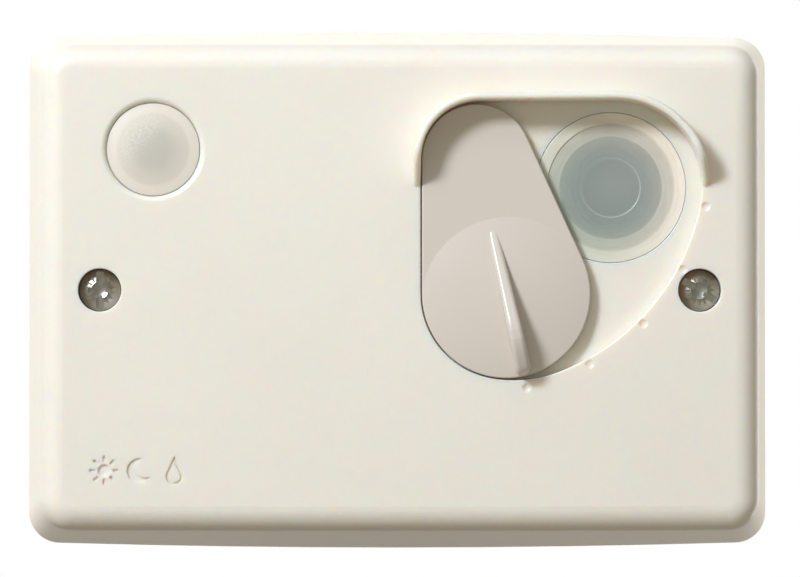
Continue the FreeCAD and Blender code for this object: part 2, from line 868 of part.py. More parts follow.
def shutter_spring_washer():
    """Slightly conical spring washer between the cover's boss and the clip."""
    inner = shaft_radius + washer_play
    top = shaft_boss_end
    low = top - washer_rise
    return turned(pivot_x, pivot_y, [(inner, top), (washer_radius, low),
                                     (washer_radius, low - washer_thickness),
                                     (inner, top - washer_thickness)])


def shutter_clip():
    """Open ring pushed into the shaft's groove from one side."""
    low = clip_top - clip_thickness
    ring = tube(0, 0, clip_radius, clip_seat_radius + clip_play, low, clip_top)
    mouth = box(0, clip_radius + beyond, -clip_mouth / 2, clip_mouth / 2, low, clip_top)
    clip = ring.cut(mouth)
    clip.rotate(V(0, 0, 0), V(0, 0, 1), rest_angle - 90)
    clip.translate(V(pivot_x, pivot_y, 0))
    return clip


# Lenses
def sensor_lens():
    rim = sensor_lens_radius
    flange = rim + lens_flange_overlap
    back = recess_back - lens_gasket_thickness
    low = sensor_top - sensor_step
    lens = turned(sensor_x, sensor_y,
                  [(0, window_back), (sensor_window_radius, window_back),
                   (sensor_window_radius, back - lens_flange_thickness),
                   (flange, back - lens_flange_thickness), (flange, back), (rim, back)]
                  + round_corner(rim, sensor_top)
                  + [(sensor_step_radius, sensor_top), (sensor_step_radius, low)]
                  + dome(sensor_step_radius, low, sensor_dome))
    ridge = tube(sensor_x, sensor_y, sensor_ring_radius + sensor_ring_width / 2,
                 sensor_ring_radius - sensor_ring_width / 2, window_back - sensor_ring_height,
                 window_back + merge)
    return joined([lens, ridge])


def sensor_lens_gasket():
    outer = sensor_lens_radius + lens_flange_overlap
    return tube(sensor_x, sensor_y, outer, sensor_lens_radius + lens_fit,
                recess_back - lens_gasket_thickness, recess_back)


def indicator_lens():
    rim = indicator_lens_radius
    flange = rim + lens_flange_overlap
    back = face - cover_wall - lens_gasket_thickness
    window = indicator_rim - indicator_window_thickness
    return turned(indicator_x, indicator_y,
                  [(0, window), (indicator_window_radius, window),
                   (indicator_window_radius, back - lens_flange_thickness),
                   (flange, back - lens_flange_thickness), (flange, back), (rim, back)]
                  + round_corner(rim, indicator_rim)
                  + dome(rim - lens_edge_round, indicator_rim, indicator_dome))


def indicator_lens_gasket():
    outer = indicator_lens_radius + lens_flange_overlap
    back = face - cover_wall
    return tube(indicator_x, indicator_y, outer, indicator_lens_radius + lens_fit,
                back - lens_gasket_thickness, back)


# Base
def base():
    outer = prism(rim_outline(base_inset), 0, base_depth)
    outer = outer.makeFillet(base_back_round, edges_at(outer, 0))
    hollow = prism(rim_outline(base_inset + base_wall), base_floor, base_depth - lip_root)
    lip_outline = cover_rim_wall + lip_gap
    lip = prism(rim_outline(lip_outline), base_depth - merge, base_depth + lip_rise)
    throat = prism(rim_outline(lip_outline + lip_wall), base_depth - lip_root,
                   base_depth + lip_rise)
    body = joined([outer, lip]).cut([hollow, throat])
    pieces = [body]
    for side in (-1, 1):
        pieces.append(rod(side * screw_x, screw_y, post_radius, base_floor - merge,
                          base_depth - post_gap))
        for height in board_screw_heights:
            pieces.append(rod(side * board_screw_x, height, standoff_radius, base_floor - merge,
                              board_back))
        for end in (-1, 1):
            pieces.append(rod(side * wall_hole_x, end * wall_hole_y, wall_pad_radius,
                              base_floor - merge, base_floor + wall_pad_height))
    whole = joined(pieces)
    groove_outer = base_inset + gasket_land
    groove = prism(rim_outline(groove_outer), base_depth - gasket_height, base_depth)
    groove = groove.cut(prism(rim_outline(groove_outer + gasket_width),
                              base_depth - gasket_height, base_depth))
    cuts = [groove]
    board_screw_end = board_front - board_screw_length - board_screw_end_room
    for side in (-1, 1):
        cuts.append(rod(side * screw_x, screw_y, screw_radius + thread_clearance,
                        screw_under - screw_length - beyond, base_depth))
        for height in board_screw_heights:
            cuts.append(rod(side * board_screw_x, height, board_screw_radius + thread_clearance,
                            board_screw_end, board_back + beyond))
        for end in (-1, 1):
            cuts.append(rod(side * wall_hole_x, end * wall_hole_y, wall_hole_radius, -beyond,
                            base_floor + wall_pad_height + beyond))
        cuts += cable_entry(side * cable_x)
    return whole.cut(cuts)


def cable_entry(x):
    """Hole through the base's lower wall, with a flat seat round it on each side."""
    seat = cable_hole_radius + grommet_flange + 2 * grommet_slack
    return [rod_along(V(x, -rim_height, cable_z), V(x, seat - entry_inside, cable_z),
                      cable_hole_radius),
            rod_along(V(x, -rim_height, cable_z), V(x, -entry_outside, cable_z), seat),
            rod_along(V(x, -entry_inside, cable_z),
                      V(x, grommet_web + 2 * grommet_slack - entry_inside, cable_z), seat)]


def cover_gasket():
    outer = base_inset + gasket_land
    low = base_depth - gasket_height
    ring = prism(rim_outline(outer + gasket_play), low, base_depth)
    return ring.cut(prism(rim_outline(outer + gasket_width - gasket_play), low, base_depth))


def cable_grommets():
    """Rubber grommets that grip the base's lower wall, with a bore for the cable."""
    hole = cable_hole_radius - grommet_slack
    brim = cable_hole_radius + grommet_flange
    throat = hole - grommet_lip
    inside = entry_inside - grommet_slack
    outside = entry_outside + grommet_slack
    profile = [(cable_bore_radius, inside - grommet_web), (brim, inside - grommet_web),
               (brim, inside), (hole, inside), (hole, outside), (brim, outside),
               (brim, outside + grommet_flange_thickness),
               (throat, outside + grommet_flange_thickness), (throat, inside),
               (cable_bore_radius, inside)]
    grommets = []
    for side in (-1, 1):
        grommet = turned(0, 0, profile)
        grommet.rotate(V(0, 0, 0), V(1, 0, 0), 90)
        grommet.translate(V(side * cable_x, 0, cable_z))
        grommets.append(grommet)
    return grommets


# Circuit board
def pair_across(x, y, half):
    return [(x - half, y), (x + half, y)]


def pair_upright(x, y, half):
    return [(x, y - half), (x, y + half)]


def resistor_spots():
    return [(resistor_x, resistor_y + number * resistor_pitch) for number in range(resistor_count)]


def diode_spots():
    return [(diode_x - number * diode_pitch, diode_y) for number in range(diode_count)]


def terminal_spots():
    first = terminal_x - (terminal_count - 1) / 2 * terminal_pitch
    middle = terminal_bottom + clamp_back + clamp_length / 2
    return [(first + number * terminal_pitch, middle) for number in range(terminal_count)]


def chip_leads():
    first = chip_x - (chip_legs - 1) / 2 * chip_pitch
    return [(first + number * chip_pitch, chip_y + side * chip_row)
            for number in range(chip_legs) for side in (-1, 1)]


def transistor_leads():
    return [(transistor_x + number * transistor_lead, transistor_y) for number in (-1, 0, 1)]


def relay_pins():
    """Two pins for the coil at the left and two for the contacts at the right."""
    return (pair_upright(relay_x - relay_length / 2 + coil_pin_x, relay_y, coil_pin_spread)
            + [(fixed_contact_x(), relay_y), (relay_hinge_x() + armature_thickness / 2, relay_y)])


def lead_spots():
    spots = pair_across(film_x, film_y, film_lead)
    spots += pair_across(smoothing_x, smoothing_y, smoothing_lead)
    spots += pair_across(delay_x, delay_y, delay_lead)
    spots += pair_upright(varistor_x, varistor_y, varistor_lead)
    spots += pair_across(fuse_x, fuse_y, fuse_lead)
    spots += pair_across(sensor_x, sensor_y, photocell_lead)
    spots += pair_across(indicator_x, indicator_y, led_lead)
    for x, y in resistor_spots():
        spots += pair_across(x, y, resistor_lead)
    for x, y in diode_spots():
        spots += pair_upright(x, y, diode_lead)
    return spots + chip_leads() + transistor_leads()


def circuit_board():
    half = board_half_width
    board = box(-half, half, board_bottom, board_top, board_back, board_front)
    corners = [e for e in board.Edges if abs(e.BoundBox.ZLength - board_thickness) < near]
    board = board.makeFillet(board_corner, corners)
    low = board_back - beyond
    high = board_front + beyond
    holes = [rod(x, y, lead_radius + lead_play, low, high) for x, y in lead_spots()]
    holes += [rod(x, y, relay_pin + lead_play, low, high) for x, y in relay_pins()]
    holes += [rod(x, y, terminal_pin + lead_play, low, high) for x, y in terminal_spots()]
    for side in (-1, 1):
        for height in board_screw_heights:
            holes.append(rod(side * board_screw_x, height, board_screw_radius + board_screw_play,
                             low, high))
    return board.cut(holes)


def board_screws():
    screws = []
    top = board_front + board_screw_head_height
    reach = board_screw_cross / 2
    half = board_screw_cross_width / 2
    for side in (-1, 1):
        for height in board_screw_heights:
            shank = rod(0, 0, board_screw_radius, board_front - board_screw_length,
                        board_front + merge)
            head = rod(0, 0, board_screw_head_radius, board_front, top)
            head = head.makeFillet(board_screw_head_round, edges_at(head, top))
            low = top - board_screw_cross_depth
            arm = box(-reach, reach, -half, half, low, top + beyond)
            across = box(-half, half, -reach, reach, low, top + beyond)
            screw = joined([shank, head]).cut([arm, across])
            screw.translate(V(side * board_screw_x, height, 0))
            screws.append(screw)
    return screws


# Parts on the circuit board
def straight_leads(spots, top):
    return [rod(x, y, lead_radius, board_back - lead_length, top) for x, y in spots]


def standing_can(x, y, radius, height, half):
    low = board_front + can_standoff
    can = rod(x, y, radius, low, low + height)
    can = can.makeFillet(can_round, edges_at(can, low + height))
    waist = tube(x, y, radius + beyond, radius - can_waist_depth, low + can_waist_low,
                 low + can_waist_high)
    return joined([can.cut(waist)] + straight_leads(pair_across(x, y, half), low + lead_grip))


def film_capacitor():
    low = board_front + can_standoff
    case = box(film_x - film_length / 2, film_x + film_length / 2, film_y - film_width / 2,
               film_y + film_width / 2, low, low + film_height)
    case = case.makeFillet(film_round, [e for e in case.Edges if e.BoundBox.ZMax > low + near])
    return joined([case] + straight_leads(pair_across(film_x, film_y, film_lead),
                                          low + lead_grip))


def smoothing_capacitor():
    return standing_can(smoothing_x, smoothing_y, smoothing_radius, smoothing_height, smoothing_lead)


def delay_capacitor():
    return standing_can(delay_x, delay_y, delay_radius, delay_height, delay_lead)


def lying_part(start, end, radius, length):
    """Round body between two bent leads that go through the board."""
    height = board_front + part_standoff + radius
    a = V(start[0], start[1], height)
    b = V(end[0], end[1], height)
    way = (b - a).normalize()
    middle = (a + b) * 0.5
    body = rod_along(middle - way * (length / 2), middle + way * (length / 2), radius)
    body = body.makeFillet(radius * 0.3, [e for e in body.Edges if len(e.Vertexes) == 1])
    pieces = [body, rod_along(a, b, lead_radius)]
    for tip in (a, b):
        pieces.append(Part.makeSphere(lead_radius, tip))
        pieces.append(rod(tip.x, tip.y, lead_radius, board_back - lead_length, height))
    return joined(pieces)


def dropper_resistors():
    return [lying_part((x - resistor_lead, y), (x + resistor_lead, y), resistor_radius,
                       resistor_length) for x, y in resistor_spots()]


def rectifier_diodes():
    return [lying_part((x, y - diode_lead), (x, y + diode_lead), diode_radius, diode_length)
            for x, y in diode_spots()]


def varistor():
    """Round disc standing on edge, coated down over the start of its leads."""
    height = board_front + part_standoff + varistor_radius
    half = varistor_thickness / 2
    disc = rod_along(V(varistor_x - half, varistor_y, height),
                     V(varistor_x + half, varistor_y, height), varistor_radius)
    disc = disc.makeFillet(half * 0.7, [e for e in disc.Edges if len(e.Vertexes) == 1])
    return joined([disc] + straight_leads(pair_upright(varistor_x, varistor_y, varistor_lead),
                                          height))


def fuse():
    low = board_front + can_standoff
    can = rod(fuse_x, fuse_y, fuse_radius, low, low + fuse_height)
    can = can.makeFillet(fuse_round, edges_at(can, low + fuse_height))
    return joined([can] + straight_leads(pair_across(fuse_x, fuse_y, fuse_lead),
                                         low + lead_grip))


def comparator_chip():
    low = board_front + chip_rise
    high = low + chip_height
    body = box(chip_x - chip_length / 2, chip_x + chip_length / 2, chip_y - chip_width / 2,
               chip_y + chip_width / 2, low, high)
    crest = [e for e in body.Edges if e.BoundBox.ZMin > high - near]
    body = body.makeChamfer(chip_chamfer, crest)
    notch = rod(chip_x - chip_length / 2, chip_y, chip_notch, high - chip_chamfer, high + beyond)
    pieces = [body.cut(notch)]
    knee = low + chip_height / 2
    half = chip_leg_thickness / 2
    wide = chip_leg_width / 2
    narrow = chip_leg_tip / 2
    foot = board_front + chip_leg_rise
    for x, y in chip_leads():
        side = 1 if y > chip_y else -1
        inner = chip_y + side * (chip_width / 2 - chip_chamfer)
        outer = y + side * half
        pieces.append(box(x - wide, x + wide, min(inner, outer), max(inner, outer),
                          knee - half, knee + half))
        pieces.append(box(x - wide, x + wide, y - half, y + half, foot, knee + half))
        pieces.append(box(x - narrow, x + narrow, y - half, y + half, board_back - lead_length,
                          foot + merge))
    return joined(pieces)


def driver_transistor():
    low = board_front + transistor_rise
    high = low + transistor_height
    body = rod(transistor_x, transistor_y, transistor_radius, low, high)
    reach = transistor_radius + beyond
    flat = box(transistor_x - reach, transistor_x + reach, transistor_y - reach,
               transistor_y - transistor_flat, low - beyond, high + beyond)
    return joined([body.cut(flat)] + straight_leads(transistor_leads(), low + lead_grip))


def sensor_shroud():
    """Light-tight tube from the board to the window, with a flange at each end."""
    top = window_back - shroud_window_gap
    inner = sensor_ring_radius
    flange = sensor_window_radius - shroud_window_play
    under = top - shroud_flange_thickness
    foot = board_front + shroud_foot_thickness
    return turned(sensor_x, sensor_y,
                  [(inner, board_front), (shroud_foot_radius, board_front),
                   (shroud_foot_radius, foot), (shroud_radius, foot),
                   (shroud_radius, under - shroud_taper), (flange, under), (flange, top),
                   (inner, top)])


def photocell():
    """Round cell on two long leads, with a raised rim round its face."""
    top = window_back - photocell_drop
    low = top - photocell_thickness
    cell = rod(sensor_x, sensor_y, photocell_radius, low, top)
    cell = cell.cut(rod(sensor_x, sensor_y, photocell_radius - photocell_rim,
                        top - photocell_rim_height, top + beyond))
    return joined([cell] + straight_leads(pair_across(sensor_x, sensor_y, photocell_lead),
                                          low + lead_grip))


def indicator_led():
    low = board_front + led_spacer_length
    dome = low + led_length - led_radius
    body = rod(indicator_x, indicator_y, led_radius, low, dome)
    cap = Part.makeSphere(led_radius, V(indicator_x, indicator_y, dome))
    rim = rod(indicator_x, indicator_y, led_flange_radius, low, low + led_flange)
    leads = straight_leads(pair_across(indicator_x, indicator_y, led_lead), low + lead_grip)
    return joined([body, cap, rim] + leads)


def led_spacer():
    top = board_front + led_spacer_length
    post = rod(indicator_x, indicator_y, led_spacer_radius, board_front, top)
    holes = [rod(x, y, lead_radius + lead_play, board_front - beyond, top + beyond)
             for x, y in pair_across(indicator_x, indicator_y, led_lead)]
    return post.cut(holes)


# Terminal block
def terminal_block():
    half = (terminal_count * terminal_pitch) / 2 + terminal_side
    back = terminal_bottom + terminal_depth
    low = board_front
    high = low + terminal_height
    block = box(terminal_x - half, terminal_x + half, terminal_bottom, back, low, high)
    crest = [e for e in block.Edges if e.BoundBox.ZMin > high - near and e.BoundBox.XLength > half]
    block = block.makeChamfer(terminal_chamfer, crest)
    cuts = []
    wide = clamp_width / 2 + clamp_play
    inner = clamp_width / 2 - clamp_wall
    clamp_low = low + clamp_base
    clamp_high = clamp_low + clamp_height
    for x, y in terminal_spots():
        cuts.append(box(x - wide, x + wide, y - clamp_length / 2 - clamp_play,
                        y + clamp_length / 2 + clamp_play, low - beyond, clamp_high + clamp_play))
        cuts.append(box(x - inner, x + inner, terminal_bottom - beyond, y,
                        clamp_low + clamp_wall, clamp_high - clamp_top))
        cuts.append(rod(x, y, terminal_well_radius, clamp_high, high + beyond))
    return block.cut(cuts)


def terminal_clamps():
    """Brass cages with a threaded top and a pin that goes through the board."""
    clamps = []
    low = board_front + clamp_base
    high = low + clamp_height
    inner = clamp_width / 2 - clamp_wall
    for x, y in terminal_spots():
        cage = box(x - clamp_width / 2, x + clamp_width / 2, y - clamp_length / 2,
                   y + clamp_length / 2, low, high)
        window = box(x - inner, x + inner, y - clamp_length, y + clamp_length,
                     low + clamp_wall, high - clamp_top)
        thread = rod(x, y, clamp_screw_radius + thread_clearance, high - clamp_top - beyond,
                     high + beyond)
        pin = rod(x, y, terminal_pin, board_back - lead_length, low + clamp_pin_grip)
        clamps.append(joined([cage, pin]).cut([window, thread]))
    return clamps


def terminal_screws():
    screws = []
    head_low = board_front + clamp_base + clamp_height + clamp_screw_rise
    top = head_low + clamp_screw_head_height
    reach = clamp_screw_head + beyond
    half = clamp_screw_slot / 2
    for x, y in terminal_spots():
        shank = rod(x, y, clamp_screw_radius, head_low - clamp_screw_length, head_low + merge)
        head = rod(x, y, clamp_screw_head, head_low, top)
        slot = box(x - reach, x + reach, y - half, y + half, top - clamp_screw_slot_depth,
                   top + beyond)
        screws.append(joined([shank, head]).cut(slot))
    return screws


# Relay, lying along x: yoke at the left, armature and contacts at the right
def core_end_x():
    return relay_x - relay_length / 2 + core_start + core_length


def relay_hinge_x():
    return core_end_x() + armature_gap


def hinge_z():
    return relay_floor + coil_height + bobbin_flange_radius + yoke_gap


def fixed_contact_x():
    return relay_hinge_x() + armature_thickness + contact_arm - contact_radius


def relay_base():
    half_length = relay_length / 2 - relay_wall - relay_fit
    half_width = relay_width / 2 - relay_wall - relay_fit
    plate = box(relay_x - half_length, relay_x + half_length, relay_y - half_width,
                relay_y + half_width, board_front + relay_fit, relay_floor)
    holes = [rod(x, y, relay_pin + lead_play / 2, board_front - beyond, relay_floor + beyond)
             for x, y in relay_pins()]
    return plate.cut(holes)


def relay_case():
    half_length = relay_length / 2
    half_width = relay_width / 2
    outer = box(relay_x - half_length, relay_x + half_length, relay_y - half_width,
                relay_y + half_width, board_front, board_front + relay_height)
    corners = [e for e in outer.Edges if e.BoundBox.ZMax > board_front + near]
    outer = outer.makeFillet(relay_case_round, corners)
    inner = box(relay_x - half_length + relay_wall, relay_x + half_length - relay_wall,
                relay_y - half_width + relay_wall, relay_y + half_width - relay_wall,
                board_front - beyond, board_front + relay_height - relay_wall)
    return outer.cut(inner)


def relay_rod(start, end, radius):
    """Round rod on the coil's axis."""
    z = relay_floor + coil_height
    return rod_along(V(start, relay_y, z), V(end, relay_y, z), radius)


def bobbin_start():
    return core_end_x() - core_length + yoke_thickness + relay_fit


def relay_bobbin():
    start = bobbin_start()
    end = core_end_x() - core_tip
    pieces = [relay_rod(start, end, core_radius + bobbin_wall)]
    for x in (start, end - bobbin_flange):
        pieces.append(relay_rod(x, x + bobbin_flange, bobbin_flange_radius))
    return joined(pieces).cut(relay_rod(start - beyond, end + beyond, core_radius + coil_play))


def relay_winding():
    start = bobbin_start() + bobbin_flange + coil_play
    end = core_end_x() - core_tip - bobbin_flange - coil_play
    inner = core_radius + bobbin_wall + coil_play
    return relay_rod(start, end, winding_radius).cut(relay_rod(start, end, inner))


def relay_yoke():
    """Iron core on a bent plate that carries the armature's edge."""
    left = core_end_x() - core_length
    core = relay_rod(left, core_end_x(), core_radius)
    top = hinge_z()
    upright = box(left, left + yoke_thickness, relay_y - yoke_width / 2, relay_y + yoke_width / 2,
                  relay_floor + yoke_gap, top + yoke_thickness)
    arm = box(left, core_end_x(), relay_y - yoke_width / 2, relay_y + yoke_width / 2,
              top, top + yoke_thickness)
    return joined([core, upright, arm])


def relay_coil_pins():
    return [rod(x, y, relay_pin, board_back - lead_length, relay_floor + coil_pin_rise)
            for x, y in relay_pins()[:2]]


def relay_armature():
    """Iron plate in front of the core's end, hung from the edge of the yoke."""
    left = relay_hinge_x()
    return box(left, left + armature_thickness, relay_y - armature_width / 2,
               relay_y + armature_width / 2, relay_floor + armature_foot,
               hinge_z() + yoke_thickness)


def relay_moving_contact():
    """Spring blade riveted to the armature, with a contact under its free end."""
    left = relay_hinge_x() + armature_thickness
    z = hinge_z()
    half = contact_blade_width / 2
    blade_right = left + contact_arm
    strip = box(left, blade_right, relay_y - half, relay_y + half, z - contact_blade, z)
    drop = box(left, left + contact_blade, relay_y - half, relay_y + half,
               z - contact_blade_drop, z)
    button = rod(blade_right - contact_radius, relay_y, contact_radius,
                 z - contact_blade - contact_thickness, z - contact_blade + merge)
    return joined([strip, drop, button])


def relay_fixed_contact():
    """Contact on a post that goes down through the relay's base to the board."""
    x = fixed_contact_x()
    top = hinge_z() - contact_blade - contact_thickness - contact_gap
    button = rod(x, relay_y, contact_radius, top - contact_thickness, top)
    post = box(x - contact_post / 2, x + contact_post / 2, relay_y - contact_post_width / 2,
               relay_y + contact_post_width / 2, relay_floor, top - contact_thickness + merge)
    pin = rod(x, relay_y, relay_pin, board_back - lead_length, relay_floor + merge)
    return joined([button, post, pin])


# Writing the pieces
def stand_up(shape):
    """Turns a piece from lying on its back to standing with its front to -Y."""
    stood = shape.copy()
    stood.rotate(V(0, 0, 0), V(1, 0, 0), 90)
    return stood


def write(name, shapes):
    solids = []
    for shape in shapes if isinstance(shapes, list) else [shapes]:
        solids += stand_up(shape).Solids
    if len(solids) == 1:
        whole = solids[0]
    else:
        whole = Part.makeCompound(solids)
    whole.exportStep("parts/" + name + ".step")
    box_size = whole.BoundBox
    print(name, len(solids), "valid" if whole.isValid() else "INVALID", round(whole.Volume, 1),
          [round(value, 2) for value in (box_size.XMin, box_size.XMax, box_size.YMin,
                                         box_size.YMax, box_size.ZMin, box_size.ZMax)])


pieces = [base, cover_gasket, cable_grommets, front_cover, cover_screws, cover_screw_seals,
          shutter, shutter_o_ring, shutter_spring_washer, shutter_clip, sensor_lens,
          sensor_lens_gasket, indicator_lens, indicator_lens_gasket, circuit_board, board_screws,
          sensor_shroud, photocell, led_spacer, indicator_led, terminal_block, terminal_clamps,
          terminal_screws, relay_base, relay_case, relay_bobbin, relay_winding, relay_yoke,
          relay_coil_pins, relay_armature, relay_moving_contact, relay_fixed_contact,
          film_capacitor, smoothing_capacitor, delay_capacitor, dropper_resistors,
          rectifier_diodes, varistor, fuse, comparator_chip, driver_transistor]

os.makedirs("parts", exist_ok=True)
for piece in pieces:
    write(piece.__name__, piece())
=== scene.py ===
import bpy
import math
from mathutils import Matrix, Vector


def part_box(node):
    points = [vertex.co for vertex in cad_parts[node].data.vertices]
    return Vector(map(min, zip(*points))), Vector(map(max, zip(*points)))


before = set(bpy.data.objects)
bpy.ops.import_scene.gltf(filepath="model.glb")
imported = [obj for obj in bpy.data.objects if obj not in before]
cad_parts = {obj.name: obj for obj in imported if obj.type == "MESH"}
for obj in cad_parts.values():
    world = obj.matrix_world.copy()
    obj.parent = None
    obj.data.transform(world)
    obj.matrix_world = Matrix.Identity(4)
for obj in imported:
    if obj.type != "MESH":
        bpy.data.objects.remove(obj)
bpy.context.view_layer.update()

# Camera: a long lens about 1 m away, almost square to the face, a little left of and below its
# middle, as in the photograph. The face is 39 mm in front of the wall, which is at y = 0.
FACE_Y = -0.039
CAMERA_TO_FACE = 0.985
camera = bpy.data.objects.new("camera", bpy.data.cameras.new("camera"))
bpy.context.scene.collection.objects.link(camera)
camera.data.sensor_width = 36.0
camera.data.lens = 277.9
camera.data.clip_start = 0.05
camera.data.clip_end = 50.0
camera.location = (-0.017, FACE_Y - CAMERA_TO_FACE, -0.024)
look_at = Vector((0.0, FACE_Y, -0.0003))
camera.rotation_mode = "QUATERNION"
camera.rotation_quaternion = (look_at - camera.location).to_track_quat("-Z", "Y")
bpy.context.scene.camera = camera

# Studio: a cool soft key light above and to the left, a narrow light over the top edge, a card
# behind each side of the switch, a surround that is white behind it, and a white floor below.
bpy.context.scene.view_settings.view_transform = "Standard"


def linear(hex_colour):
    """An sRGB hex colour as linear red, green, blue and alpha."""
    parts = [int(hex_colour[place:place + 2], 16) / 255 for place in (1, 3, 5)]
    return [part / 12.92 if part <= 0.04045 else ((part + 0.055) / 1.055) ** 2.4
            for part in parts] + [1.0]


def node(tree, kind, inputs=None, **settings):
    """Adds one node with its settings; inputs are values, or the sockets they come from."""
    made = tree.nodes.new(kind)
    for name, value in settings.items():
        setattr(made, name, value)
    for name, value in (inputs or {}).items():
        if isinstance(value, bpy.types.NodeSocket):
            tree.links.new(value, made.inputs[name])
        else:
            made.inputs[name].default_value = value
    return made


def soft_light(name, place, size, power, colour, target=(0.0, FACE_Y, 0.0)):
    """A rectangle of this width and height, with its power in watts, that faces the target."""
    lamp = bpy.data.objects.new(name, bpy.data.lights.new(name, "AREA"))
    bpy.context.scene.collection.objects.link(lamp)
    lamp.data.shape = "RECTANGLE"
    lamp.data.size, lamp.data.size_y = size
    lamp.data.energy = power
    lamp.data.color = linear(colour)[:3]
    lamp.visible_camera = False
    lamp.location = place
    lamp.rotation_mode = "QUATERNION"
    lamp.rotation_quaternion = (Vector(target) - lamp.location).to_track_quat("-Z", "Y")


soft_light("key_light", (-0.63, FACE_Y - 0.78, 0.59), (0.24, 0.24), 13.5, "#ebf1ff")
soft_light("overhead_light", (0.0, FACE_Y - 0.12, 0.20), (0.4, 0.06), 0.12, "#d8e8ff")
soft_light("right_card", (0.21, 0.10, 0.0), (0.10, 0.30), 0.25, "#ffffff", (0.06, -0.03, 0.0))
soft_light("left_card", (-0.21, 0.10, 0.0), (0.10, 0.30), 0.05, "#ffffff", (-0.06, -0.03, 0.0))

world = bpy.data.worlds.new("studio")
bpy.context.scene.world = world
world.use_nodes = True
sky = world.node_tree
sky.nodes.clear()
direction = node(sky, "ShaderNodeTexCoord")
part = node(sky, "ShaderNodeSeparateXYZ", {"Vector": direction.outputs["Generated"]})


def weighted(start, terms):
    """A start value plus each socket times its weight."""
    total = start
    for socket, weight in terms:
        total = node(sky, "ShaderNodeMath", {0: socket, 1: weight, 2: total},
                     operation="MULTIPLY_ADD").outputs[0]
    return total


# The surround is grey and a little brighter in front. Behind the switch it is white, brightest
# above and dimmer to the lower right. The camera sees it plain white
all_round = weighted(0.25, [(part.outputs["X"], -0.08), (part.outputs["Y"], -0.19),
                            (part.outputs["Z"], -0.05)])
to_lower_right = weighted(0.0, [(part.outputs["X"], 0.7), (part.outputs["Z"], -0.7)])
dim = node(sky, "ShaderNodeMapRange", {"Value": to_lower_right, "From Min": -0.15,
                                       "From Max": 0.15}, interpolation_type="SMOOTHSTEP")
behind = node(sky, "ShaderNodeMapRange", {"Value": part.outputs["Y"], "From Min": 0.5,
                                          "From Max": 0.95}, interpolation_type="SMOOTHSTEP")
white = weighted(1.08, [(part.outputs["Z"], 1.30), (dim.outputs["Result"], -0.20)])
brightness = weighted(all_round, [(behind.outputs["Result"], white)])
surround = node(sky, "ShaderNodeBackground", {"Color": linear("#fff9eb"), "Strength": brightness})
plain = node(sky, "ShaderNodeBackground", {"Color": (1.0, 1.0, 1.0, 1.0), "Strength": 1.0})
path = node(sky, "ShaderNodeLightPath")
seen = node(sky, "ShaderNodeMixShader", {0: path.outputs["Is Camera Ray"],
                                         1: surround.outputs[0], 2: plain.outputs[0]})
node(sky, "ShaderNodeOutputWorld", {"Surface": seen.outputs[0]})


def start_material(name):
    """A new material with one shader; returns the material, its tree and the shader."""
    material = bpy.data.materials.new(name)
    material.use_nodes = True
    tree = material.node_tree
    tree.nodes.clear()
    shader = node(tree, "ShaderNodeBsdfPrincipled")
    node(tree, "ShaderNodeOutputMaterial", {"Surface": shader.outputs[0]})
    return material, tree, shader


def per_metre(size_in_mm):
    """How many times a pattern of this size repeats in a metre."""
    return 1000.0 / size_in_mm


# The floor is matt white paper, faintly mottled by its fibres of about 1.5 mm. It is lit through a
# little, so that it stays pale from every side
floor_paper, tree, shader = start_material("matt_white_paper")
place = node(tree, "ShaderNodeTexCoord").outputs["Object"]
fibres = node(tree, "ShaderNodeTexNoise", {"Vector": place, "Scale": per_metre(1.5),
                                           "Detail": 3.0})
pulp = node(tree, "ShaderNodeMix", {0: fibres.outputs[0], 6: linear("#f6f5f2"),
                                    7: linear("#f1f0ec")}, data_type="RGBA")
tree.links.new(pulp.outputs[2], shader.inputs["Base Color"])
shader.inputs["Roughness"].default_value = 0.9
shader.inputs["Emission Color"].default_value = linear("#f4f3f0")
shader.inputs["Emission Strength"].default_value = 0.3
FLOOR_Z = -0.30
HALF_FLOOR = 1.6
sheet = bpy.data.meshes.new("floor")
sheet.from_pydata([(-HALF_FLOOR, -HALF_FLOOR, FLOOR_Z), (HALF_FLOOR, -HALF_FLOOR, FLOOR_Z),
                   (HALF_FLOOR, HALF_FLOOR, FLOOR_Z), (-HALF_FLOOR, HALF_FLOOR, FLOOR_Z)],
                  [], [(0, 1, 2, 3)])
sheet.materials.append(floor_paper)
floor = bpy.data.objects.new("floor", sheet)
bpy.context.scene.collection.objects.link(floor)
floor.visible_diffuse = False
floor.visible_glossy = False


# Base: a shallow tray in ivory ABS that is screwed to the wall and carries everything else. It is
# injection moulded with a fine spark-eroded grain, duller than the cover's polished skin.
def dress(names, material):
    """Puts one material in every slot of these CAD nodes."""
    for name in names:
        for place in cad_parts[name].material_slots:
            place.material = material


